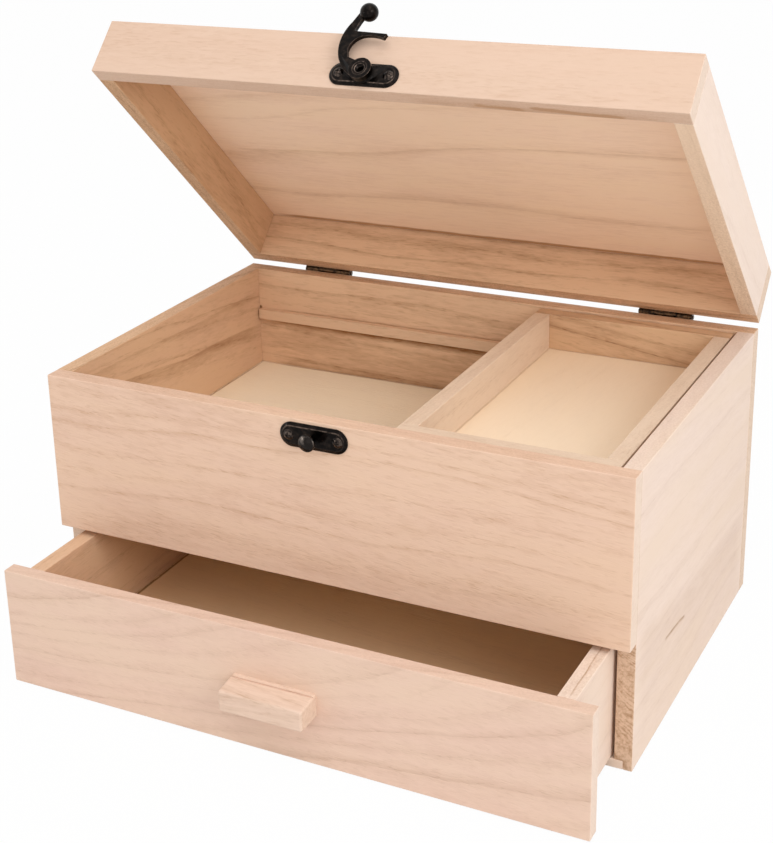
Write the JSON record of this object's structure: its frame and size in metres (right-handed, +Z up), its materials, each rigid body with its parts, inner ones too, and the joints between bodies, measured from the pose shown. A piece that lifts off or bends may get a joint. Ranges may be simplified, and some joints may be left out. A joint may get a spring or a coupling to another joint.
{
  "type": "sewing box",
  "caption": "Wooden sewing box with a hinged lid, a swing hook latch, an open compartment with a sliding tray and a drawer below.",
  "frame": {"origin": "middle of the box's footprint, on the underside of the bottom board", "axes": "+X to the right, +Y to the back where the hinges are, +Z up"},
  "size_m": [0.3, 0.2823, 0.3231],
  "materials": {
    "board": "raw, sanded pale wood",
    "plywood": "raw plywood",
    "dark_metal": "dark antique finish"
  },
  "bodies": {
    "carcass": {"left_side_panel": "board", "right_side_panel": "board", "upper_front_panel": "board", "back_panel": "board", "bottom_board": "board", "compartment_floor": "plywood", "tray_ledge_front": "board", "tray_ledge_back": "board", "left_hinge_lower_leaf": "dark_metal", "left_hinge_pin": "dark_metal", "right_hinge_lower_leaf": "dark_metal", "right_hinge_pin": "dark_metal", "hinge_lower_screws": "dark_metal", "catch_plate": "dark_metal", "catch_stud": "dark_metal", "catch_screws": "dark_metal"},
    "lid": {"lid_front_board": "board", "lid_back_board": "board", "lid_left_board": "board", "lid_right_board": "board", "lid_top_panel": "board", "left_hinge_upper_leaf": "dark_metal", "right_hinge_upper_leaf": "dark_metal", "hinge_upper_screws": "dark_metal", "hook_plate": "dark_metal", "hook_rivet": "dark_metal", "hook_plate_screws": "dark_metal"},
    "hook": {"swing_hook": "dark_metal"},
    "drawer": {"drawer_front": "board", "drawer_left_side": "board", "drawer_right_side": "board", "drawer_back": "board", "drawer_bottom": "plywood", "drawer_pull": "board"},
    "tray": {"tray_front": "board", "tray_back": "board", "tray_left_end": "board", "tray_right_end": "board", "tray_floor": "plywood"}
  },
  "joints": [
    {"name": "lid_hinge", "type": "hinge", "parent": "carcass", "child": "lid", "pos_m": [0, 0.103, 0.1472], "axis": [-1, 0, 0], "range_deg": [-43.6, 136.4]},
    {"name": "hook_pivot", "type": "hinge", "parent": "lid", "child": "hook", "pos_m": [-0.0022, -0.03849, 0.29299], "axis": [0, 0.7242, -0.6896], "range_deg": [-90, 180]},
    {"name": "drawer_slide", "type": "slide", "parent": "carcass", "child": "drawer", "axis": [0, -1, 0], "range_m": [-0.047, 0.093]},
    {"name": "tray_slide", "type": "slide", "parent": "carcass", "child": "tray", "axis": [-1, 0, 0], "range_m": [0, 0.176]}
  ]
}
